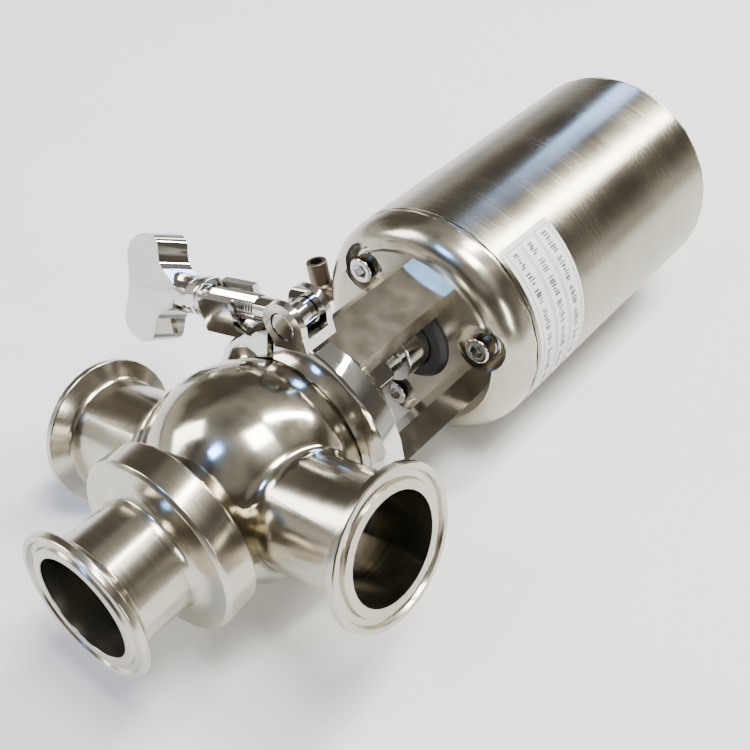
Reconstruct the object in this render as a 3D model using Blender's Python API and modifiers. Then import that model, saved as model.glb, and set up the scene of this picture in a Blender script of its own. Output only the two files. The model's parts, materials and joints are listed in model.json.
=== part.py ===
"""Pneumatic seat valve: three-port sanitary tee body, hinged clamp, yoke and spring-return actuator.

Every piece is modelled in the valve's own axes, in millimetres: Z runs up the stem from the bottom
port to the actuator, X points out of the right port, and the two side ports meet the stem at the origin.
The root empty then lays the finished valve on its actuator cylinder and its left port.
"""
import math

import bmesh
import bpy
from mathutils import Matrix, Vector

MM = 0.001
GAP = 0.3                    # clearance kept between neighbouring pieces
ROUND = 32                   # sides of a large turned piece
INNER_ROUND = 24             # sides of a large piece inside the actuator
SMALL_ROUND = 16             # sides of a small turned piece

# Tri-clamp ferrules, 1.5 inch
PORT_BORE_R = 17.4
PORT_TUBE_R = 19.05
FERRULE_R = 25.25
FERRULE_EDGE = 2.85
GROOVE_R = 21.75
GROOVE_HALF = 1.5
GROOVE_DEPTH = 1.2
SIDE_PORT_REACH = 63.95
BOTTOM_PORT_Z = -61.5

# Valve body
BULB_R = 35.5
BULB_WALL = 3.0
BULB_Z = 6.5
NECK_R = 24.0
RING_R = 30.5
RING_TOP_Z = -22.0
RING_BOTTOM_Z = -34.0
SEAT_R = 16.4
SEAT_OUTER_R = 20.2
SEAT_TOP_Z = -19.0

# Clamped joint between body and yoke, 2 inch
JOINT_Z = 34.8
FLANGE_R = 32.0
GASKET_HALF = 0.5
FLANGE_HALF = 3.65
TAPER_HALF = 5.1
TAPER_R = 28.0
CLAMP_R = 36.8
CLAMP_LIP_R = 29.4
LUG_ANGLE = 266.7            # degrees round the stem, from the right port
BOLT_OFFSET = 42.2           # stem axis to clamp bolt axis
PIVOT_SHIFT = -10.0          # pivot's place along the clamp bolt
PIVOT_R = 4.4
LUG_R = 8.0
HINGE_R = 39.4
SHANK_R = 4.0
CLAMP_NUT_START = 28.7
WING_TILT = 26.0      # turn of the wings about the bolt, degrees from pointing straight outward
WING_HALF = 6.3       # half the wings' thickness
# One wing's outline: distance from the bolt's axis, height above the nut's start
WING_OUTLINE = [(0, 35.3), (4.0, 35.7), (8.0, 36.6), (10.5, 36.9), (12.8, 36.5), (14.8, 35.3), (16.4, 33.4),
                (17.6, 31.0), (18.3, 28.2), (18.4, 25.4), (17.9, 22.9), (16.7, 21.2), (15.0, 20.3),
                (12.5, 20.0), (10.0, 19.5), (8.2, 18.3), (6.6, 16.4), (4.8, 13.8), (3.0, 11.6), (1.2, 10.2)]

# Stem and plug
STEM_R = 6.0
ROD_BORE_R = 6.2
PISTON_ROD_R = 10.0          # the stem's thicker upper part
PISTON_ROD_BORE_R = 10.25
PISTON_ROD_HOLE_R = 10.6
PISTON_ROD_Z = 77.0
PLUG_R = 19.2

# Yoke and actuator
YOKE_TOP_Z = 91.0
YOKE_SEAT_Z = 103.5
LEG_ANGLES = (295.0, 55.0, 175.0)
LEG_OUTER = 30.0
LEG_INNER = 21.0
LEG_HALF_WIDTH = 9.3
BOLT_ANGLES = (235.0, 355.0, 115.0)
BOLT_CIRCLE_R = 30.0
BOLT_SEAT_Z = 97.0
CYLINDER_R = 44.0
CYLINDER_BORE_R = 42.0
CYLINDER_START_Z = 105.7
CYLINDER_END_Z = 231.7
CAP_END_Z = 235.8
PISTON_Z = 119.4
PISTON_HEIGHT = 12.0
SPRING_R = 25.0
SPRING_WIRE_R = 2.6
SPRING_TURNS = 6.5

STEEL = ("stainless_steel", (0.62, 0.60, 0.55), 0.30, 1.0)
POLISHED = ("polished_steel", (0.70, 0.69, 0.66), 0.12, 1.0)
BRASS = ("nickel_brass", (0.42, 0.36, 0.28), 0.35, 1.0)
SEAL_WHITE = ("white_ptfe", (0.85, 0.84, 0.80), 0.45, 0.0)
SEAL_BLACK = ("black_rubber", (0.03, 0.03, 0.03), 0.60, 0.0)
SPRING_STEEL = ("spring_steel", (0.20, 0.20, 0.21), 0.40, 1.0)
ALUMINIUM = ("aluminium", (0.75, 0.75, 0.76), 0.35, 1.0)


def clear_scene():
    """Start from an empty scene."""
    for obj in list(bpy.data.objects):
        bpy.data.objects.remove(obj, do_unlink=True)


clear_scene()
PARTS = bpy.data.collections.new("pneumatic_actuated_valve")
CUTTERS = bpy.data.collections.new("cutters")
bpy.context.scene.collection.children.link(PARTS)
bpy.context.scene.collection.children.link(CUTTERS)
ROOT = bpy.data.objects.new("valve_axes", None)
PARTS.objects.link(ROOT)


def material(spec):
    """The Principled material of a (name, colour, roughness, metallic) spec."""
    name, colour, roughness, metallic = spec
    found = bpy.data.materials.get(name)
    if found:
        return found
    made = bpy.data.materials.new(name)
    made.use_nodes = True
    shader = made.node_tree.nodes["Principled BSDF"]
    shader.inputs["Base Color"].default_value = (*colour, 1.0)
    shader.inputs["Roughness"].default_value = roughness
    shader.inputs["Metallic"].default_value = metallic
    return made


def place(name, mesh, spec, at=(0, 0, 0), turn=(0, 0, 0)):
    """A part in the valve's axes: at in mm, turn in degrees. No spec makes it a hidden cutter."""
    obj = bpy.data.objects.new(name, mesh)
    obj.location = Vector(at) * MM
    obj.rotation_euler = [math.radians(angle) for angle in turn]
    obj.parent = ROOT
    if spec is None:
        obj.hide_render = True
        obj.display_type = "WIRE"
        CUTTERS.objects.link(obj)
    else:
        mesh.materials.append(material(spec))
        PARTS.objects.link(obj)
    return obj


def turned(name, profile, spec, at=(0, 0, 0), turn=(0, 0, 0), sides=ROUND):
    """A solid turned about its own Z from (radius, height) points, outer side downwards."""
    hollow = all(radius > 0 for radius, _ in profile)
    points = [(radius * MM, 0, height * MM) for radius, height in profile]
    edges = [(i, i + 1) for i in range(len(points) - 1)]
    if hollow:
        edges.append((len(points) - 1, 0))
    mesh = bpy.data.meshes.new(name)
    mesh.from_pydata(points, edges, [])
    obj = place(name, mesh, spec, at, turn)
    screw = obj.modifiers.new("turn", "SCREW")
    screw.steps = sides
    screw.render_steps = sides
    screw.use_merge_vertices = True
    screw.merge_threshold = 0.00001
    return obj


def ring(name, inner, outer, low, high, spec, at=(0, 0, 0), turn=(0, 0, 0), sides=ROUND):
    """A plain ring between two radii and two heights."""
    profile = [(inner, high), (outer, high), (outer, low), (inner, low)]
    return turned(name, profile, spec, at, turn, sides)


def rod(name, radius, low, high, spec, at=(0, 0, 0), turn=(0, 0, 0), sides=SMALL_ROUND):
    """A plain solid cylinder between two heights."""
    profile = [(0, high), (radius, high), (radius, low), (0, low)]
    return turned(name, profile, spec, at, turn, sides)


def block(name, low, high, spec, at=(0, 0, 0), turn=(0, 0, 0)):
    """A box between two corners of its own axes."""
    mesh = bpy.data.meshes.new(name)
    build = bmesh.new()
    bmesh.ops.create_cube(build, size=1.0)
    size = Vector(high) - Vector(low)
    middle = (Vector(high) + Vector(low)) / 2
    bmesh.ops.scale(build, vec=size * MM, verts=build.verts)
    bmesh.ops.translate(build, vec=middle * MM, verts=build.verts)
    build.to_mesh(mesh)
    build.free()
    return place(name, mesh, spec, at, turn)


def hexagon(name, across_flats, low, high, spec, at=(0, 0, 0), turn=(0, 0, 0)):
    """A six-sided prism between two heights."""
    return rod(name, across_flats / math.sqrt(3), low, high, spec, at, turn, sides=6)


def boolean(obj, operation, tool):
    """Apply another solid to this one when it is evaluated."""
    modifier = obj.modifiers.new(tool.name, "BOOLEAN")
    modifier.operation = operation
    modifier.object = tool


def cut(obj, *tools):
    """Take each tool away."""
    for tool in tools:
        boolean(obj, "DIFFERENCE", tool)


def fuse(obj, *tools):
    """Add each tool."""
    for tool in tools:
        boolean(obj, "UNION", tool)


def around(radius, degrees, height=0.0):
    """The point at an angle round the stem, in mm."""
    angle = math.radians(degrees)
    return (radius * math.cos(angle), radius * math.sin(angle), height)


def arc(radius, centre_height, start_height, end_height, count):
    """Points on a sphere's profile between two heights."""
    start = math.asin((start_height - centre_height) / radius)
    end = math.asin((end_height - centre_height) / radius)
    angles = [start + (end - start) * i / (count - 1) for i in range(count)]
    return [(radius * math.cos(a), centre_height + radius * math.sin(a)) for a in angles]


def ferrule_profile(face, tube_end):
    """A tri-clamp ferrule and its tube, face at the bottom; closed along the bore."""
    groove_floor = face + GROOVE_DEPTH
    back = face + FERRULE_EDGE
    return [
        (PORT_TUBE_R, tube_end),
        (PORT_TUBE_R, back + 3.4),
        (PORT_TUBE_R + 1.2, back + 2.0),
        (FERRULE_R - 0.4, back),
        (FERRULE_R, back - 0.4),
        (FERRULE_R, face + 0.4),
        (FERRULE_R - 0.4, face),
        (GROOVE_R + GROOVE_HALF, face),
        (GROOVE_R + GROOVE_HALF * 0.6, groove_floor),
        (GROOVE_R - GROOVE_HALF * 0.6, groove_floor),
        (GROOVE_R - GROOVE_HALF, face),
        (PORT_BORE_R, face),
    ]


def make_body():
    """The hollow bulb with its clamp flange, and the two side ports set into it."""
    inner_r = BULB_R - BULB_WALL
    flange_face = JOINT_Z - GASKET_HALF - GAP
    outside = arc(BULB_R, BULB_Z, 28.5, -19.6, 10)
    cavity = arc(inner_r, BULB_Z, -18.7, 28.4, 8)
    profile = [
        (FLANGE_R - 0.4, flange_face),
        (FLANGE_R, flange_face - 0.4),
        (FLANGE_R, JOINT_Z - FLANGE_HALF),
        (TAPER_R, JOINT_Z - TAPER_HALF),
        *outside,
        (NECK_R, RING_TOP_Z),
        (20.5, RING_TOP_Z),
        *cavity,
        (24.0, flange_face),
    ]
    body = turned("valve_body", profile, STEEL)
    hole = rod("port_holes", PORT_TUBE_R + GAP, -50, 50, None, turn=(0, 90, 0), sides=ROUND)
    cut(body, hole)
    trim = turned("port_trim", [(0, 33.3), *arc(33.3, 0, 32.9, -32.9, 11), (0, -33.3)], None,
                  at=(0, 0, BULB_Z), sides=ROUND)
    for side, turn in (("right", -90), ("left", 90)):
        profile = [*ferrule_profile(-SIDE_PORT_REACH, -20.0), (PORT_BORE_R, -20.0)]
        port = turned(f"port_{side}", profile, STEEL, turn=(0, turn, 0))
        cut(port, trim)


def make_bottom_adapter():
    """The thick ring, flared tube and ferrule below the seat."""
    foot = [(PORT_TUBE_R + 5.0 * (1 - math.sin(a)), RING_BOTTOM_Z - 4.2 * (1 - math.cos(a)))
            for a in (0.0, math.radians(30), math.radians(60), math.radians(90))]
    profile = [
        (RING_R - 0.8, RING_TOP_Z - GAP),
        (RING_R, RING_TOP_Z - GAP - 0.8),
        (RING_R, RING_BOTTOM_Z + 1.2),
        (RING_R - 1.2, RING_BOTTOM_Z),
        *foot,
        *ferrule_profile(BOTTOM_PORT_Z, BOTTOM_PORT_Z + 15)[1:],
        (PORT_BORE_R, -28.0),
        (SEAT_OUTER_R + GAP, -28.0),
        (SEAT_OUTER_R + GAP, RING_TOP_Z - GAP),
    ]
    turned("bottom_adapter", profile, STEEL)
    ring("seat_ring", SEAT_R, SEAT_OUTER_R, -27.7, SEAT_TOP_Z, STEEL)


def make_clamp():
    """Two hinged halves, the swinging clamp bolt, its washer and its wing nut."""
    ring("body_gasket", 24.2, 29.5, JOINT_Z - GASKET_HALF, JOINT_Z + GASKET_HALF, SEAL_WHITE)
    inner_half = FLANGE_HALF + GAP
    lip_half = TAPER_HALF + GAP
    channel = [
        (CLAMP_R - 1.0, JOINT_Z + 4.6),
        (CLAMP_R, JOINT_Z + 3.6),
        (CLAMP_R, JOINT_Z - 3.6),
        (CLAMP_R - 1.0, JOINT_Z - 4.6),
        (CLAMP_LIP_R, JOINT_Z - 7.2),
        (CLAMP_LIP_R, JOINT_Z - lip_half),
        (FLANGE_R + GAP, JOINT_Z - inner_half),
        (FLANGE_R + GAP, JOINT_Z + inner_half),
        (CLAMP_LIP_R, JOINT_Z + lip_half),
        (CLAMP_LIP_R, JOINT_Z + 7.2),
    ]
    # In the clamp's own axes +X points at the lugs; the right half carries the bolt's pivot at +Y,
    # the left half its slotted lug at -Y, and the hinge is on the far side.
    turn = (0, 0, LUG_ANGLE)
    pivot_y = -PIVOT_SHIFT
    pivot = around_clamp(BOLT_OFFSET, pivot_y)
    hinge = around_clamp(-HINGE_R, 0)
    middle = (0, 0, JOINT_Z)
    for side, sign in (("right", 1), ("left", -1)):
        half = turned(f"clamp_half_{side}", channel, POLISHED, turn=turn)
        far = -sign * 60
        near = sign * 1.5
        split = block(f"split_{side}", (-60, min(far, near), 0), (60, max(far, near), 70), None, turn=turn)
        cut(half, split)
        rooms = ((-3.4, 3.4),) if side == "left" else ((-9.0, -3.2), (3.2, 9.0))
        for index, (low, high) in enumerate(rooms):
            cut(half, rod(f"room_{side}_{index}", 5.3, low, high, None, at=hinge))
        knuckles = ((-7.0, -3.6), (3.6, 7.0)) if side == "left" else ((-3.0, 3.0),)
        for index, (low, high) in enumerate(knuckles):
            strap = block(f"strap_{side}_{index}", (-HINGE_R + 3.2, min(sign * 1.0, sign * 9), low + 0.1),
                          (-33.6, max(sign * 1.0, sign * 9), high - 0.1), None, at=middle, turn=turn)
            knuckle = ring(f"knuckle_{side}_{index}", 2.5, 4.8, low, high, None, at=hinge, sides=SMALL_ROUND)
            fuse(half, strap, knuckle)
        if side == "right":
            lug = rod("pivot_lug", LUG_R, -7.0, 7.0, None, at=pivot, sides=20)
            web = block("pivot_web", (34.0, pivot_y - 6.5, -6.8), (BOLT_OFFSET, pivot_y + 7.4, 6.8), None,
                        at=middle, turn=turn)
            slot = block("pivot_slot", (37.7, -30, -4.5), (60, 40, 4.5), None, at=middle, turn=turn)
            fuse(half, web, lug)
            cut(half, slot, rod("pivot_hole", PIVOT_R + 0.5, -20, 20, None, at=pivot))
        else:
            web = block("fork_web", (34.0, -28.0, -7.0), (BOLT_OFFSET + 4.5, -13.0, 7.0), None,
                        at=middle, turn=turn)
            slot = block("fork_slot", (37.7, -40, -4.5), (60, 0, 4.5), None, at=middle, turn=turn)
            fuse(half, web)
            cut(half, slot)
    turned("clamp_hinge_pin", [(0, 8.4), (3.2, 8.4), (3.2, 7.5), (2.2, 7.5), (2.2, -8.0), (0, -8.0)],
           STEEL, at=hinge, sides=SMALL_ROUND)
    make_clamp_bolt(pivot_y)


def around_clamp(outward, sideways):
    """A point on the clamp's middle plane, given in the clamp's own axes."""
    angle = math.radians(LUG_ANGLE)
    x = outward * math.cos(angle) - sideways * math.sin(angle)
    y = outward * math.sin(angle) + sideways * math.cos(angle)
    return (x, y, JOINT_Z)


def make_clamp_bolt(pivot_y):
    """The clamp bolt runs along its own +Z from the pivot; washer and nut share its axis."""
    pivot = around_clamp(BOLT_OFFSET, pivot_y)
    along = (90, 0, LUG_ANGLE)
    shank_end = 77.0
    bolt = rod("clamp_bolt", PIVOT_R, -6.9, 6.9, POLISHED, at=pivot)
    shank = rod("clamp_bolt_shank", SHANK_R, 1.0, shank_end, None, at=pivot, turn=along)
    fuse(bolt, shank)
    start = CLAMP_NUT_START + pivot_y
    ring("clamp_washer", SHANK_R + 0.25, 7.0, start, start + 1.5, POLISHED, at=pivot, turn=along,
         sides=SMALL_ROUND)
    nut_start = start + 1.8
    nut_end = nut_start + 34.0
    barrel = [(0, nut_end), (6.6, nut_end), (6.6, nut_start + 6.0), (6.3, nut_start + 5.0),
              (7.0, nut_start + 1.0), (6.6, nut_start), (0, nut_start)]
    nut = turned("wing_nut", barrel, POLISHED, at=pivot, turn=along, sides=SMALL_ROUND)
    wing = wing_block("wing_outline", nut_start)
    wing.location = Vector(pivot) * MM
    wing.rotation_euler = [math.radians(angle) for angle in along]
    bore = rod("wing_bore", 4.3, nut_start - 2, nut_end + 5, None, at=pivot, turn=along)
    fuse(nut, wing)
    cut(nut, bore)


def wing_block(name, nut_start):
    """The nut's two wings: a butterfly outline along the bolt, given a flat thickness."""
    tilt = math.radians(WING_TILT)
    across = Vector((math.cos(tilt), math.sin(tilt), 0))
    through = Vector((-math.sin(tilt), math.cos(tilt), 0))
    outline = WING_OUTLINE + [(-side, height) for side, height in reversed(WING_OUTLINE[1:])]
    mesh = bpy.data.meshes.new(name)
    build = bmesh.new()
    verts = [build.verts.new((across * side - through * WING_HALF + Vector((0, 0, nut_start + height))) * MM)
             for side, height in outline]
    face = build.faces.new(verts)
    grown = bmesh.ops.extrude_face_region(build, geom=[face])
    moved = [item for item in grown["geom"] if isinstance(item, bmesh.types.BMVert)]
    bmesh.ops.translate(build, vec=through * 2 * WING_HALF * MM, verts=moved)
    bmesh.ops.recalc_face_normals(build, faces=build.faces)
    build.to_mesh(mesh)
    build.free()
    return place(name, mesh, None)


def make_yoke():
    """Bonnet flange, three legs and the domed plate that carries the actuator."""
    flange_face = JOINT_Z + GASKET_HALF + GAP
    base = [
        (TAPER_R, 46.4),
        (TAPER_R, JOINT_Z + TAPER_HALF),
        (FLANGE_R, JOINT_Z + FLANGE_HALF),
        (FLANGE_R, flange_face + 0.4),
        (FLANGE_R - 0.4, flange_face),
        (23.5, flange_face),
        (23.5, 31.0),
        (22.5, 30.0),
        (11.0, 30.0),
        (11.0, 33.5),
        (9.0, 33.5),
        (9.0, 43.0),
        (6.6, 43.0),
        (6.6, 46.4),
    ]
    yoke = turned("yoke", base, STEEL)
    dome = [(35.0 + 9.0 * math.sin(a), YOKE_SEAT_Z - 11.5 * math.cos(a))
            for a in [math.radians(90 - 18 * i) for i in range(6)]]
    plate = turned("yoke_plate", [(PISTON_ROD_HOLE_R, YOKE_SEAT_Z), *dome, (34.4, YOKE_TOP_Z), (16.3, YOKE_TOP_Z),
                                  (16.3, 95.0), (PISTON_ROD_HOLE_R, 95.0)], None)
    fuse(yoke, plate)
    for index, angle in enumerate(LEG_ANGLES):
        leg = block(f"leg_{index}", (LEG_INNER, -LEG_HALF_WIDTH, 43.4), (LEG_OUTER, LEG_HALF_WIDTH, 94.0), None,
                    turn=(0, 0, angle))
        fuse(yoke, leg)
    for index, angle in enumerate(BOLT_ANGLES):
        scallop = turned(f"scallop_{index}", [(0, 110), (3.4, 110), (3.4, BOLT_SEAT_Z), (9.4, BOLT_SEAT_Z),
                                              (9.4, 85), (0, 85)], None, at=around(BOLT_CIRCLE_R, angle), sides=20)
        cut(yoke, scallop)
    cut(yoke, rod("air_hole", 2.9, -60, -37, None, at=(0, AIR_PORT[1], AIR_PORT[2]), turn=(0, 90, 0), sides=16))


AIR_PORT = (-48.7, -6.0, 98.4)    # corner of the air elbow


def make_air_fitting():
    """An elbow screwed into the plate's edge, its open tube turned towards -Y."""
    x, y, z = AIR_PORT
    elbow = turned("air_fitting", [(0, 4.0), (2.5, 4.0), (2.5, 12.0), (3.9, 12.0), (4.1, 11.7), (4.1, 3.0),
                                   (4.8, 2.2), (4.8, -4.0), (4.2, -4.6), (0, -4.6)],
                   BRASS, at=AIR_PORT, turn=(90, 0, 0), sides=SMALL_ROUND)
    shank = rod("air_shank", 2.6, 1.0, 10.8, None, at=(x, y, z), turn=(0, 90, 0), sides=16)
    fuse(elbow, shank)


def make_stem():
    """Stem, plug stack and the seals that the stem runs through."""
    turned("stem", [(0, 139.5), (4.6, 139.5), (5.0, 139.0), (5.0, 119.1), (PISTON_ROD_R, 119.1),
                    (PISTON_ROD_R, PISTON_ROD_Z + 0.6), (PISTON_ROD_R - 0.6, PISTON_ROD_Z),
                    (STEM_R, PISTON_ROD_Z), (STEM_R, -8.7),
                    (4.0, -8.7), (4.0, -29.0), (0, -29.0)], POLISHED, sides=SMALL_ROUND)
    turned("plug_disc", [(STEM_R - 1.7, -7.0 - 2.0), (9.0, -9.0), (PLUG_R, -11.4), (PLUG_R, -15.4),
                         (STEM_R - 1.7, -15.4)], STEEL)
    ring("plug_seal", 4.3, PLUG_R, -18.7, -15.7, SEAL_WHITE)
    ring("plug_retainer", 4.3, 15.4, -21.6, -19.0, STEEL, sides=SMALL_ROUND)
    nut = hexagon("plug_nut", 13.0, -27.4, -21.9, STEEL)
    cut(nut, rod("plug_nut_bore", 4.3, -40, -10, None))
    ring("stem_bushing", ROD_BORE_R, 8.7, 33.8, 42.7, SEAL_WHITE, sides=SMALL_ROUND)
    ring("stem_lip_seal", ROD_BORE_R, 10.7, 30.3, 33.2, SEAL_BLACK, sides=SMALL_ROUND)
    locknut = hexagon("stem_locknut", 17.0, 61.0, 69.0, STEEL)
    cut(locknut, rod("locknut_bore", STEM_R + 0.2, 50, 80, None))
    turned("rod_wiper", [(PISTON_ROD_BORE_R, 94.7), (16.0, 94.7), (16.0, 90.2), (14.4, 88.6),
                         (PISTON_ROD_BORE_R, 88.6)],
           SEAL_BLACK, sides=24)


def make_actuator():
    """Lower head, cylinder, top cap, piston set and return spring."""
    head = turned("lower_head", [
        (CYLINDER_BORE_R - GAP, 117.0), (CYLINDER_BORE_R - GAP, 113.0), (39.0, 113.0), (39.0, 109.5),
        (CYLINDER_BORE_R - GAP, 109.5), (CYLINDER_BORE_R - GAP, 105.4), (CYLINDER_R - 0.2, 105.4),
        (CYLINDER_R, 105.2), (CYLINDER_R, 103.8), (PISTON_ROD_HOLE_R, 103.8), (PISTON_ROD_HOLE_R, 107.0),
        (13.1, 107.0), (13.1, 117.0),
    ], STEEL, sides=INNER_ROUND)
    ring("lower_head_seal", 39.3, 41.85, 109.9, 112.6, SEAL_BLACK, sides=INNER_ROUND)
    ring("rod_bushing", PISTON_ROD_BORE_R, 12.8, 107.3, 113.0, SEAL_WHITE, sides=SMALL_ROUND)
    ring("rod_seal", PISTON_ROD_BORE_R, 12.8, 113.3, 116.7, SEAL_BLACK, sides=SMALL_ROUND)
    ring("cylinder", CYLINDER_BORE_R, CYLINDER_R, CYLINDER_START_Z, CYLINDER_END_Z, STEEL, sides=48)
    rounding = [(39.8 + 4.2 * math.sin(a), 231.6 + 4.2 * math.cos(a))
                for a in [math.radians(22.5 * i) for i in range(5)]]
    turned("top_cap", [
        (7.4, CAP_END_Z), *rounding[0:4], (CYLINDER_R, 233.0), (CYLINDER_R, CYLINDER_END_Z + GAP),
        (CYLINDER_BORE_R - GAP, CYLINDER_END_Z + GAP), (CYLINDER_BORE_R - GAP, 229.0), (39.0, 229.0),
        (39.0, 225.5), (CYLINDER_BORE_R - GAP, 225.5), (CYLINDER_BORE_R - GAP, 224.0), (4.0, 224.0),
        (4.0, 230.0), (7.4, 230.0),
    ], STEEL, sides=ROUND)
    ring("top_cap_seal", 39.3, 41.85, 225.9, 228.6, SEAL_BLACK)
    turned("vent_plug", [(0, 235.4), (6.6, 235.4), (7.1, 234.9), (7.1, 230.3), (3.6, 230.3), (3.6, 225.0),
                         (0, 225.0)], BRASS, sides=SMALL_ROUND)
    make_piston()
    for index, angle in enumerate(BOLT_ANGLES):
        make_bolt(index, angle, head)


def make_piston():
    """Piston with its seal and guide ring, locked on the stem, and the spring above it."""
    top = PISTON_Z + PISTON_HEIGHT
    outer = CYLINDER_BORE_R - 0.4
    turned("piston", [
        (outer, top), (outer, PISTON_Z + 10.5), (40.1, PISTON_Z + 10.5), (40.1, PISTON_Z + 6.5),
        (outer, PISTON_Z + 6.5), (outer, PISTON_Z + 5.0), (39.0, PISTON_Z + 5.0), (39.0, PISTON_Z + 1.6),
        (outer, PISTON_Z + 1.6), (outer, PISTON_Z), (5.3, PISTON_Z), (5.3, top),
    ], ALUMINIUM, sides=INNER_ROUND)
    ring("piston_seal", 39.3, 41.85, PISTON_Z + 2.0, PISTON_Z + 4.6, SEAL_BLACK, sides=INNER_ROUND)
    ring("piston_guide_ring", 40.4, 41.8, PISTON_Z + 6.8, PISTON_Z + 10.2, SEAL_WHITE, sides=INNER_ROUND)
    nut = hexagon("piston_nut", 17.0, top + GAP, top + 6.3, STEEL)
    cut(nut, rod("piston_nut_bore", 5.3, 120, 150, None))
    low = top + GAP + SPRING_WIRE_R
    high = 224.0 - GAP - SPRING_WIRE_R
    count = int(SPRING_TURNS * 12)
    curve = bpy.data.curves.new("return_spring", "CURVE")
    curve.dimensions = "3D"
    curve.bevel_depth = SPRING_WIRE_R * MM
    curve.bevel_resolution = 1
    curve.use_fill_caps = True
    spline = curve.splines.new("POLY")
    spline.points.add(count)
    for i, point in enumerate(spline.points):
        share = i / count
        angle = 2 * math.pi * SPRING_TURNS * share
        height = low + (high - low) * share
        point.co = (SPRING_R * math.cos(angle) * MM, SPRING_R * math.sin(angle) * MM, height * MM, 1)
    curve.materials.append(material(SPRING_STEEL))
    spring = bpy.data.objects.new("return_spring", curve)
    spring.parent = ROOT
    PARTS.objects.link(spring)


def make_bolt(index, angle, head):
    """One socket head screw and washer that hold the yoke to the actuator's lower head."""
    at = around(BOLT_CIRCLE_R, angle)
    ring(f"bolt_washer_{index + 1}", 3.3, 6.2, 95.4, BOLT_SEAT_Z - GAP, STEEL, at=at, sides=SMALL_ROUND)
    bolt = turned(f"bolt_{index + 1}", [(0, 113.0), (2.9, 113.0), (2.9, 95.1), (4.9, 95.1), (4.9, 89.6),
                                        (4.4, 89.1), (0, 89.1)], POLISHED, at=at, sides=SMALL_ROUND)
    cut(bolt, hexagon(f"bolt_socket_{index}", 5.0, 80.0, 92.5, None, at=at))
    cut(head, rod(f"head_hole_{index}", 3.2, 100, 114.0, None, at=at, sides=16))


def lay_down():
    """Turn the stem to +Y and roll the valve onto its cylinder and its left port."""
    rest_angle = math.hypot(SIDE_PORT_REACH, FERRULE_R)
    roll = math.asin(CYLINDER_R / rest_angle) - math.atan2(FERRULE_R, SIDE_PORT_REACH)
    along_x = Vector((math.cos(roll), 0, math.sin(roll)))
    along_y = Vector((math.sin(roll), 0, -math.cos(roll)))
    along_z = Vector((0, 1, 0))
    turn = Matrix((along_x, along_y, along_z)).transposed().to_4x4()
    ROOT.matrix_world = turn
    bpy.context.view_layer.update()
    graph = bpy.context.evaluated_depsgraph_get()
    corners = []
    for obj in PARTS.objects:
        if obj.type != "EMPTY":
            shape = obj.evaluated_get(graph)
            corners += [obj.matrix_world @ vertex.co for vertex in shape.to_mesh().vertices]
            shape.to_mesh_clear()
    lows = [min(point[axis] for point in corners) for axis in range(3)]
    highs = [max(point[axis] for point in corners) for axis in range(3)]
    shift = Vector((-(lows[0] + highs[0]) / 2, -(lows[1] + highs[1]) / 2, -lows[2]))
    ROOT.matrix_world = Matrix.Translation(shift) @ turn


make_body()
make_bottom_adapter()
make_clamp()
make_yoke()
make_air_fitting()
make_stem()
make_actuator()
lay_down()
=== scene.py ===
"""Looks of the pneumatic seat valve: metals, seals, sticker, weld fillets, thread, stage and camera."""
import json
import math
import random

import bmesh
import bpy
from mathutils import Matrix, Vector


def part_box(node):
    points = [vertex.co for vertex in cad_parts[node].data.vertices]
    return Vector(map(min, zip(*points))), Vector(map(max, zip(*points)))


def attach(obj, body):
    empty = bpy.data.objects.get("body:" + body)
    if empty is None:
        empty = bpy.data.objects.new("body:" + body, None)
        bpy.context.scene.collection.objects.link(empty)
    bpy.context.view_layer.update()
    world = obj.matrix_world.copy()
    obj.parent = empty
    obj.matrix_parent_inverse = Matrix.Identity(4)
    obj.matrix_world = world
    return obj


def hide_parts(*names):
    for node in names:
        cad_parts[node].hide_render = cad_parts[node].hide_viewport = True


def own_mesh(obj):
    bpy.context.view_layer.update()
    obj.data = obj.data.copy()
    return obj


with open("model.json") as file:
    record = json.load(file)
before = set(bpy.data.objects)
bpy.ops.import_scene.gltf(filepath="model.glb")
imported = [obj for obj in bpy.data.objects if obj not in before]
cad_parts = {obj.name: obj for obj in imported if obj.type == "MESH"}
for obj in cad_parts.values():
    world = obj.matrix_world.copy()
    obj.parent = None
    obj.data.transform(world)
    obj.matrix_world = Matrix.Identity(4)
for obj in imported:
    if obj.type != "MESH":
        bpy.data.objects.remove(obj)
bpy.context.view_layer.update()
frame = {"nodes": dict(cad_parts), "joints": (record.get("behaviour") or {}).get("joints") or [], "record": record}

MM = 0.001

# The valve's own axes, read from the frame: Z up the stem, X out of the right port.
record = frame["record"]
mounts = {mount["name"]: mount for mount in record["mounts"]}
joints = {joint["name"]: joint for joint in frame["joints"]}
AXIS_X = Vector(mounts["port_right"]["axis"]).normalized()
AXIS_Z = -Vector(mounts["port_bottom"]["axis"]).normalized()
AXIS_Y = AXIS_Z.cross(AXIS_X)


def middle(node):
    """The centre of a CAD node's box."""
    low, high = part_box(node)
    return (low + high) / 2


cylinder_low, cylinder_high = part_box("cylinder")
ORIGIN = Vector((middle("cylinder").x, middle("port_right").y, middle("cylinder").z))
ROLL = math.atan2(AXIS_X.z, AXIS_X.x)
TO_WORLD = Matrix((AXIS_X, AXIS_Y, AXIS_Z)).transposed().to_4x4()
TO_WORLD.translation = ORIGIN

TOOL_LINE_DEPTH = 0.00006    # m
GRAIN_DEPTH = 0.0001         # rubber, plastic and paper, m
SPECK_SHARE = 0.25           # of a metal's bump, beside its tool lines
QUARTER_TURN = 0.25          # turns the brushed gloss from round the stem to along it
EDGE_ANGLE = 32              # a CAD node's edges sharper than this are softened, degrees
CREASE_ANGLE = 35            # a detail piece's edges sharper than this stay sharp, degrees
WELD_DISTANCE = 0.000002     # m
FLOOR_SIZE = 30.0            # m
FLOOR_DROP = 0.0002          # m

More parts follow.
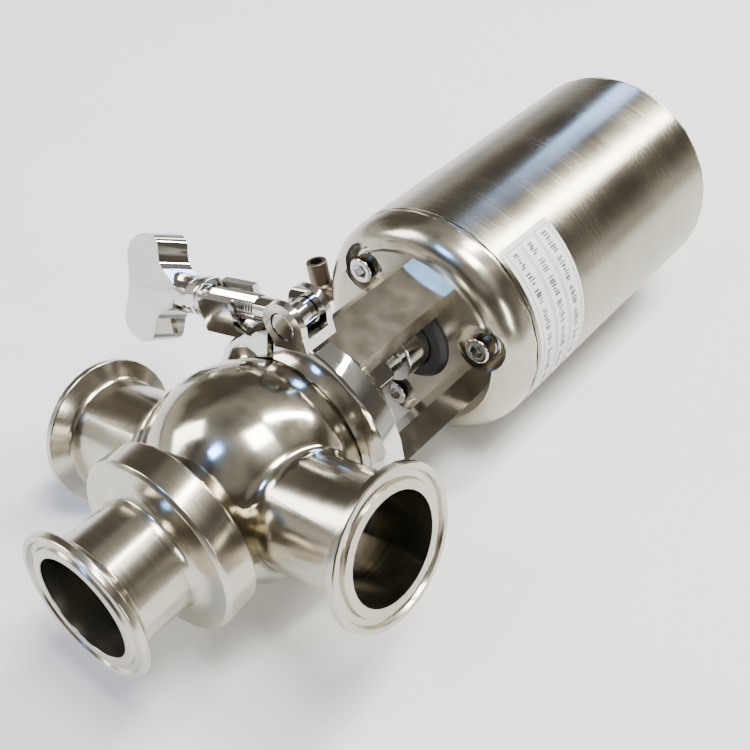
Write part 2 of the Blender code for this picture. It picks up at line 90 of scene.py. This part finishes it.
# The viewpoint, in the valve's axes
CAMERA_PLACE = (233.9, -204.8, -158.2)   # mm
CAMERA_AIM = (-0.60521, 0.53677, 0.58788)
CAMERA_UP = (-0.23004, -0.82489, 0.51637)
FOCAL_SHARE = 1.4764         # focal length over the picture's width
SENSOR = 36.0                # mm

# Sizes in mm, in the valve's axes
USUAL_EDGE = 0.3         # width of a softened edge
CYLINDER_R = (cylinder_high.z - cylinder_low.z) / 2 / MM
BULB_R = 35.5
BULB_Z = 6.5             # the bulb's centre, along the stem
TUBE_R = 19.05           # outside of a side port's tube
LABEL_START = 107.4      # along the stem
LABEL_END = 136.5
LABEL_FROM = 314.5       # round the stem, degrees
LABEL_TO = 425.0
LABEL_MARGIN = 2.5       # degrees
LABEL_BOXES = ((109.4, 117.2), (118.2, 126.0), (127.0, 134.8))   # each ruled box, along the stem


def add_object(name, data):
    """A new object, linked to the scene."""
    obj = bpy.data.objects.new(name, data)
    bpy.context.scene.collection.objects.link(obj)
    return obj


# ---------------------------------------------------------------- shader helpers

def new_material(name):
    """An empty node material and its Principled shader."""
    made = bpy.data.materials.new(name)
    made.use_nodes = True
    return made, made.node_tree, made.node_tree.nodes["Principled BSDF"]


def shader_node(tree, kind, **settings):
    """A new shader node with its plain attributes set."""
    made = tree.nodes.new(kind)
    for key, value in settings.items():
        setattr(made, key, value)
    return made


def noise(tree, coords, scale, detail=3.0, stretch=(1, 1, 1), turn=(0, 0, 0)):
    """Noise read in object space, stretched and turned; returns its value socket."""
    mapping = shader_node(tree, "ShaderNodeMapping")
    mapping.inputs["Rotation"].default_value = turn
    mapping.inputs["Scale"].default_value = stretch
    tree.links.new(coords, mapping.inputs["Vector"])
    texture = shader_node(tree, "ShaderNodeTexNoise")
    texture.inputs["Scale"].default_value = scale
    texture.inputs["Detail"].default_value = detail
    tree.links.new(mapping.outputs["Vector"], texture.inputs["Vector"])
    return texture.outputs["Fac"]


def ranged(tree, value, low, high, start=0.3, stop=0.7):
    """Map a noise value onto a range."""
    made = shader_node(tree, "ShaderNodeMapRange")
    made.inputs["From Min"].default_value = start
    made.inputs["From Max"].default_value = stop
    made.inputs["To Min"].default_value = low
    made.inputs["To Max"].default_value = high
    tree.links.new(value, made.inputs["Value"])
    return made.outputs["Result"]


def ramp(tree, value, stops):
    """A colour ramp over a value."""
    made = shader_node(tree, "ShaderNodeValToRGB")
    elements = made.color_ramp.elements
    while len(elements) < len(stops):
        elements.new(0.5)
    for element, (place, colour) in zip(elements, stops):
        element.position = place
        element.color = (*colour, 1.0)
    tree.links.new(value, made.inputs["Fac"])
    return made.outputs["Color"]


def metal(name, light, dark, rough, grain=(40, 2600, 40), turn=(0, 0, 0), grain_depth=0.12, smudge=0.04,
          anisotropy=0.0):
    """Machined metal: fine tool lines along one direction, cloudy smudges and a slight tint change."""
    made, tree, shader = new_material(name)
    coords = shader_node(tree, "ShaderNodeTexCoord").outputs["Object"]
    clouds = noise(tree, coords, 38.0, detail=6.0)
    lines = noise(tree, coords, 1.0, detail=2.0, stretch=grain, turn=turn)
    specks = noise(tree, coords, 900.0, detail=2.0)
    colour = ramp(tree, clouds, [(0.30, dark), (0.62, light)])
    tree.links.new(colour, shader.inputs["Base Color"])
    shader.inputs["Metallic"].default_value = 1.0
    if anisotropy:
        shader.inputs["Anisotropic"].default_value = anisotropy
        shader.inputs["Anisotropic Rotation"].default_value = QUARTER_TURN
        round_axis = shader_node(tree, "ShaderNodeTangent", direction_type="RADIAL", axis="Y")
        tree.links.new(round_axis.outputs["Tangent"], shader.inputs["Tangent"])
    cloudy = ranged(tree, clouds, rough - smudge / 2, rough + smudge)
    lined = ranged(tree, lines, -0.03, 0.04)
    total = shader_node(tree, "ShaderNodeMath", operation="ADD", use_clamp=True)
    tree.links.new(cloudy, total.inputs[0])
    tree.links.new(lined, total.inputs[1])
    tree.links.new(total.outputs[0], shader.inputs["Roughness"])
    mixed = shader_node(tree, "ShaderNodeMath", operation="MULTIPLY_ADD")
    mixed.inputs[1].default_value = SPECK_SHARE
    tree.links.new(specks, mixed.inputs[0])
    tree.links.new(lines, mixed.inputs[2])
    bump = shader_node(tree, "ShaderNodeBump")
    bump.inputs["Strength"].default_value = grain_depth
    bump.inputs["Distance"].default_value = TOOL_LINE_DEPTH
    tree.links.new(mixed.outputs[0], bump.inputs["Height"])
    tree.links.new(bump.outputs["Normal"], shader.inputs["Normal"])
    return made


def plain(name, light, dark, rough, grain=500.0, depth=0.2):
    """Rubber, plastic or paper: mottled colour, uneven gloss and a fine bump."""
    made, tree, shader = new_material(name)
    coords = shader_node(tree, "ShaderNodeTexCoord").outputs["Object"]
    clouds = noise(tree, coords, 60.0, detail=5.0)
    fine = noise(tree, coords, grain, detail=3.0)
    tree.links.new(ramp(tree, clouds, [(0.3, dark), (0.7, light)]), shader.inputs["Base Color"])
    tree.links.new(ranged(tree, clouds, rough - 0.06, rough + 0.08), shader.inputs["Roughness"])
    bump = shader_node(tree, "ShaderNodeBump")
    bump.inputs["Strength"].default_value = depth
    bump.inputs["Distance"].default_value = GRAIN_DEPTH
    tree.links.new(fine, bump.inputs["Height"])
    tree.links.new(bump.outputs["Normal"], shader.inputs["Normal"])
    return made


WARM = (0.57, 0.535, 0.44)
WARM_DARK = (0.45, 0.42, 0.345)
turned_steel = metal("turned_steel", WARM, WARM_DARK, 0.20, anisotropy=0.4)
port_steel = metal("port_steel", WARM, WARM_DARK, 0.17, grain=(2600, 40, 40), turn=(0, ROLL, 0))
bulb_steel = metal("bulb_steel", WARM, WARM_DARK, 0.12, grain=(160, 160, 160), grain_depth=0.02)
cylinder_steel = metal("cylinder_steel", (0.42, 0.39, 0.315), (0.32, 0.295, 0.24), 0.23, grain=(25, 1600, 25),
                       grain_depth=0.03, anisotropy=0.6)
cast_steel = metal("cast_steel", (0.52, 0.485, 0.40), (0.42, 0.39, 0.32), 0.19, grain=(160, 160, 160),
                   grain_depth=0.02)
polished = metal("polished_cast_steel", (0.70, 0.69, 0.66), (0.60, 0.585, 0.55), 0.07, grain=(160, 160, 160),
                 grain_depth=0.03)
ground_rod = metal("ground_rod", (0.70, 0.69, 0.65), (0.60, 0.59, 0.55), 0.10, grain=(50, 4000, 50),
                   grain_depth=0.06)
dull_brass = metal("dull_nickel_brass", (0.22, 0.175, 0.125), (0.11, 0.09, 0.065), 0.32,
                   grain=(700, 700, 700), grain_depth=0.2, smudge=0.15)
spring_steel = metal("oiled_spring_steel", (0.26, 0.26, 0.27), (0.12, 0.12, 0.13), 0.34,
                     grain=(700, 700, 700))
aluminium = metal("turned_aluminium", (0.80, 0.80, 0.81), (0.66, 0.66, 0.67), 0.28)
ptfe = plain("white_ptfe", (0.88, 0.87, 0.83), (0.78, 0.77, 0.72), 0.42)
rubber = plain("black_rubber", (0.035, 0.035, 0.037), (0.015, 0.015, 0.016), 0.58)
paper = plain("label_paper", (0.90, 0.90, 0.88), (0.80, 0.80, 0.77), 0.42, grain=1400.0, depth=0.1)
ink = plain("label_ink", (0.14, 0.14, 0.15), (0.07, 0.07, 0.08), 0.5, grain=1400.0, depth=0.1)


# ---------------------------------------------------------------- CAD nodes: edges and materials

def refine(obj, width_mm, segments):
    """Soften a CAD node's edges and even its shading, without touching its mesh points."""
    mesh = obj.data
    if "custom_normal" in mesh.attributes:
        mesh.attributes.remove(mesh.attributes["custom_normal"])
    mesh.shade_smooth()
    weld = obj.modifiers.new("weld", "WELD")
    weld.merge_threshold = WELD_DISTANCE
    bevel = obj.modifiers.new("soft_edges", "BEVEL")
    bevel.width = width_mm * MM
    bevel.segments = segments
    bevel.limit_method = "ANGLE"
    bevel.angle_limit = math.radians(EDGE_ANGLE)
    bevel.use_clamp_overlap = True
    weights = obj.modifiers.new("even_shading", "WEIGHTED_NORMAL")
    weights.keep_sharp = False


def finish_nodes():
    """Give every CAD node its material and soft edges."""
    looks = {
        bulb_steel: ["valve_body"],
        port_steel: ["port_left", "port_right"],
        turned_steel: ["bottom_adapter", "seat_ring", "plug_disc", "plug_retainer", "lower_head", "top_cap",
                       "clamp_hinge_pin"],
        cylinder_steel: ["cylinder"],
        cast_steel: ["yoke"],
        polished: ["clamp_half_left", "clamp_half_right", "clamp_bolt", "clamp_washer", "wing_nut",
                   "plug_nut", "stem_locknut", "piston_nut", "bolt_1", "bolt_2", "bolt_3",
                   "bolt_washer_1", "bolt_washer_2", "bolt_washer_3"],
        ground_rod: ["stem"],
        dull_brass: ["air_fitting", "vent_plug"],
        spring_steel: ["return_spring"],
        aluminium: ["piston"],
        ptfe: ["body_gasket", "plug_seal", "stem_bushing", "rod_bushing", "piston_guide_ring"],
        rubber: ["stem_lip_seal", "rod_wiper", "lower_head_seal", "rod_seal", "top_cap_seal", "piston_seal"],
    }
    widths = {"yoke": 0.7, "wing_nut": 1.2, "clamp_half_left": 0.8, "clamp_half_right": 0.8,
              "clamp_bolt": 0.6, "valve_body": 0.3, "cylinder": 0.15}
    for look, names in looks.items():
        for name in names:
            obj = frame["nodes"][name]
            obj.data.materials.clear()
            obj.data.materials.append(look)
            refine(obj, widths.get(name, USUAL_EDGE), 3 if name in widths else 2)


# ---------------------------------------------------------------- detail pieces

def piece(name, verts, faces, look, body, smooth=True):
    """A mesh in the valve's axes (mm), placed in the world and riding on a body."""
    mesh = bpy.data.meshes.new(name)
    mesh.from_pydata([TO_WORLD @ (Vector(point) * MM) for point in verts], [], faces)
    build = bmesh.new()
    build.from_mesh(mesh)
    bmesh.ops.recalc_face_normals(build, faces=build.faces)
    build.to_mesh(mesh)
    build.free()
    if smooth:
        mesh.shade_smooth()
        mesh.set_sharp_from_angle(angle=math.radians(CREASE_ANGLE))
    mesh.materials.append(look)
    obj = add_object(name, mesh)
    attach(obj, body)


def swept(sections):
    """Quads joining closed cross-sections in a closed round."""
    count = len(sections)
    size = len(sections[0])
    verts = [point for section in sections for point in section]
    faces = []
    for i in range(count):
        j = (i + 1) % count
        for k in range(size):
            m = (k + 1) % size
            faces.append((i * size + k, i * size + m, j * size + m, j * size + k))
    return verts, faces


def bezier(a, b, c, share):
    """A point on the quadratic curve from a to c that is drawn towards b."""
    return a * (1 - share) ** 2 + b * 2 * share * (1 - share) + c * share ** 2


def port_fillet(name, side):
    """The blended weld between a side port's tube and the bulb."""
    steps = 96
    rows = 7
    tube_reach = 3.6
    bulb_reach = 2.6
    proud = 0.03
    depth = 0.5
    sections = []
    for i in range(steps):
        angle = 2 * math.pi * i / steps
        radial = Vector((0, math.cos(angle), math.sin(angle)))

        def on_bulb(radius):
            y = radius * radial.y
            z = radius * radial.z
            return Vector((side * math.sqrt(BULB_R ** 2 - y ** 2 - (z - BULB_Z) ** 2), y, z))

        corner = on_bulb(TUBE_R)
        tube_end = corner + Vector((side * tube_reach, 0, 0)) + radial * proud
        bulb_end = on_bulb(TUBE_R + bulb_reach)
        section = [bezier(tube_end, corner, bulb_end, k / rows) for k in range(rows + 1)]
        inner = corner - radial * depth - Vector((side * depth, 0, 0))
        sections.append([*section, inner])
    verts, faces = swept(sections)
    piece(name, verts, faces, bulb_steel, "valve_frame")


def label():
    """The white wrap-round sticker and its ruled rows of short strokes."""
    proud = 0.10
    sunk = 0.02
    paper_r = CYLINDER_R + proud
    core_r = CYLINDER_R - sunk
    steps = 60
    verts = []
    for i in range(steps + 1):
        angle = math.radians(LABEL_FROM + (LABEL_TO - LABEL_FROM) * i / steps)
        for radius in (core_r, paper_r):
            for height in (LABEL_START, LABEL_END):
                verts.append((radius * math.cos(angle), radius * math.sin(angle), height))
    faces = [(0, 1, 3, 2), (4 * steps, 4 * steps + 2, 4 * steps + 3, 4 * steps + 1)]
    for i in range(steps):
        a = 4 * i
        b = a + 4
        faces += [(a, b, b + 1, a + 1), (a + 2, a + 3, b + 3, b + 2),
                  (a, a + 2, b + 2, b), (a + 1, b + 1, b + 3, a + 3)]
    piece("label_paper", verts, faces, paper, "valve_frame")
    label_marks(paper_r)


def label_marks(paper_r):
    """Three rows of short strokes that only suggest print, each in a ruled box. Angles are in degrees."""
    picker = random.Random(11)
    ink_sunk = 0.01
    ink_proud = 0.04
    low_r = paper_r - ink_sunk
    high_r = paper_r + ink_proud
    print_start = LABEL_FROM + 5
    print_end = LABEL_TO - 6
    rule_end = LABEL_TO - 3
    print_rise = 2.0
    word_gap = 2.2
    rule_step = 2.5
    rule_length = 2.6
    rule_width = 0.22
    side_rule = 0.25
    verts = []
    faces = []

    def stroke(start, stop, low, high):
        base = len(verts)
        for angle in (math.radians(start), math.radians(stop)):
            for radius in (low_r, high_r):
                for height in (low, high):
                    verts.append((radius * math.cos(angle), radius * math.sin(angle), height))
        faces.extend([tuple(base + k for k in quad) for quad in
                      ((0, 1, 3, 2), (4, 6, 7, 5), (0, 4, 5, 1), (2, 3, 7, 6), (0, 2, 6, 4), (1, 5, 7, 3))])

    for box_low, _ in LABEL_BOXES:
        row = box_low + print_rise
        angle = print_start
        while angle < print_end:
            word_end = angle + picker.uniform(4.0, 12.0)
            while angle < min(word_end, print_end):
                rise = picker.uniform(0.0, 0.9)
                stroke(angle, angle + picker.uniform(0.5, 1.0), row + rise, row + picker.uniform(2.0, 3.6))
                angle += picker.uniform(1.1, 1.7)
            angle += word_gap
    for line in [height for box in LABEL_BOXES for height in box]:
        angle = LABEL_FROM + LABEL_MARGIN
        while angle < rule_end:
            stroke(angle, angle + rule_length, line, line + rule_width)
            angle += rule_step
    for low, high in LABEL_BOXES:
        stroke(LABEL_FROM + LABEL_MARGIN, LABEL_FROM + LABEL_MARGIN + side_rule, low, high)
    piece("label_marks", verts, faces, ink, "valve_frame", smooth=False)


def bolt_thread():
    """The clamp bolt's exposed thread: rounded ridges between the pivot head and the washer."""
    to_valve = TO_WORLD.inverted()
    pivot = to_valve @ Vector(joints["bolt_swing"]["pos_m"]) / MM
    along = (to_valve.to_3x3() @ Vector(joints["nut_travel"]["axis"])).normalized()
    side = along.cross(Vector((0, 0, 1))).normalized()
    up = side.cross(along)
    steps = 32
    start = 16.0
    pitch = 1.25
    turns = 17
    core_r = 3.35
    root_r = 3.95
    crest_r = 4.42
    crest_from = 0.4
    crest_to = 0.6
    rings = [(core_r, start)]
    for k in range(turns):
        rings += [(root_r, start + k * pitch), (crest_r, start + (k + crest_from) * pitch),
                  (crest_r, start + (k + crest_to) * pitch)]
    end = start + turns * pitch
    rings += [(root_r, end), (core_r, end)]
    sections = []
    for i in range(steps):
        angle = 2 * math.pi * i / steps
        radial = side * math.cos(angle) + up * math.sin(angle)
        sections.append([pivot + along * place + radial * radius for radius, place in rings])
    verts, faces = swept(sections)
    piece("clamp_bolt_thread", verts, faces, polished, "swing_bolt")


def squeezing_spring():
    """The return spring as a piece of its own, riding on the valve frame in place of the hidden CAD node."""
    coil = add_object("return_spring_coil", frame["nodes"]["return_spring"].data.copy())
    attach(coil, "valve_frame")
    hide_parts("return_spring")
    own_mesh(coil)


def make_details():
    """Everything that the CAD leaves plain."""
    squeezing_spring()
    port_fillet("port_weld_right", 1)
    port_fillet("port_weld_left", -1)
    label()
    bolt_thread()


# ---------------------------------------------------------------- stage, light and camera

def floor():
    """A wide pale floor under the valve."""
    bpy.ops.mesh.primitive_plane_add(size=FLOOR_SIZE, location=(0, 0, -FLOOR_DROP))
    made = bpy.context.object
    made.name = "floor"
    look, tree, shader = new_material("pale_floor")
    coords = shader_node(tree, "ShaderNodeTexCoord").outputs["Object"]
    clouds = noise(tree, coords, 3.0, detail=4.0)
    tree.links.new(ramp(tree, clouds, [(0.3, (0.86, 0.86, 0.87)), (0.7, (0.90, 0.90, 0.90))]),
                   shader.inputs["Base Color"])
    shader.inputs["Roughness"].default_value = 0.7
    made.data.materials.append(look)


def area_light(name, place, aim, width, height, power, colour=(1, 1, 1)):
    """A soft rectangular light aimed at a point, both in metres."""
    data = bpy.data.lights.new(name, "AREA")
    data.shape = "RECTANGLE"
    data.size = width
    data.size_y = height
    data.energy = power
    data.color = colour
    obj = add_object(name, data)
    obj.location = place
    direction = Vector(aim) - Vector(place)
    obj.rotation_euler = direction.to_track_quat("-Z", "Y").to_euler()


def lights():
    """A pale horizon under a dim, uneven ceiling, a long strip above the stem and smaller soft lights."""
    world = bpy.data.worlds.new("pale_room")
    bpy.context.scene.world = world
    world.use_nodes = True
    tree = world.node_tree
    background = tree.nodes["Background"]
    coords = shader_node(tree, "ShaderNodeTexCoord").outputs["Generated"]
    split = shader_node(tree, "ShaderNodeSeparateXYZ")
    tree.links.new(coords, split.inputs["Vector"])
    patches = noise(tree, coords, 1.7, detail=1.5)
    patch_height = 1.1
    wavering = shader_node(tree, "ShaderNodeMath", operation="MULTIPLY_ADD")
    wavering.inputs[1].default_value = patch_height
    tree.links.new(patches, wavering.inputs[0])
    tree.links.new(split.outputs["Z"], wavering.inputs[2])
    height = ranged(tree, wavering.outputs[0], 0.0, 1.0, start=0.35, stop=1.6)
    colour = ramp(tree, height, [(0.0, (0.92, 0.91, 0.90)), (0.20, (0.75, 0.72, 0.66)),
                                 (0.38, (0.16, 0.14, 0.11)), (0.60, (0.10, 0.09, 0.08)),
                                 (0.80, (0.42, 0.40, 0.36)), (1.0, (0.20, 0.19, 0.17))])
    tree.links.new(colour, background.inputs["Color"])
    background.inputs["Strength"].default_value = 1.0
    aim = (0.0, 0.0, 0.04)
    area_light("strip_above_stem", (0.20, 0.75, 0.98), (0.0, 0.1, 0.05), 0.10, 1.1, 24.0, (1.0, 0.96, 0.87))
    area_light("overhead_soft_box", (0.25, -0.05, 1.3), aim, 0.45, 0.40, 19.0, (1.0, 0.98, 0.94))
    area_light("left_soft_box", (-1.0, -0.6, 0.75), aim, 0.35, 0.7, 10.0, (1.0, 0.98, 0.95))
    area_light("cool_window", (-0.35, 1.1, 0.55), aim, 0.22, 0.35, 3.0, (0.35, 0.55, 1.0))
    area_light("blue_spot", (-0.25, -0.75, 1.0), aim, 0.16, 0.22, 4.5, (0.18, 0.42, 1.0))
    area_light("label_fill", (1.2, -0.25, 0.55), (0.04, 0.03, 0.05), 0.12, 0.5, 4.0, (1.0, 0.99, 0.97))


def camera():
    """The viewpoint of the photograph."""
    place = TO_WORLD @ (Vector(CAMERA_PLACE) * MM)
    look_along = TO_WORLD.to_3x3() @ Vector(CAMERA_AIM)
    up = TO_WORLD.to_3x3() @ Vector(CAMERA_UP)
    back = -look_along.normalized()
    right = up.cross(back).normalized()
    up = back.cross(right)
    data = bpy.data.cameras.new("camera")
    data.sensor_width = SENSOR
    data.lens = SENSOR * FOCAL_SHARE
    data.clip_start = 0.01
    obj = add_object("camera", data)
    turn = Matrix((right, up, back)).transposed().to_4x4()
    turn.translation = place
    obj.matrix_world = turn
    bpy.context.scene.camera = obj


camera()
floor()
lights()
finish_nodes()
make_details()
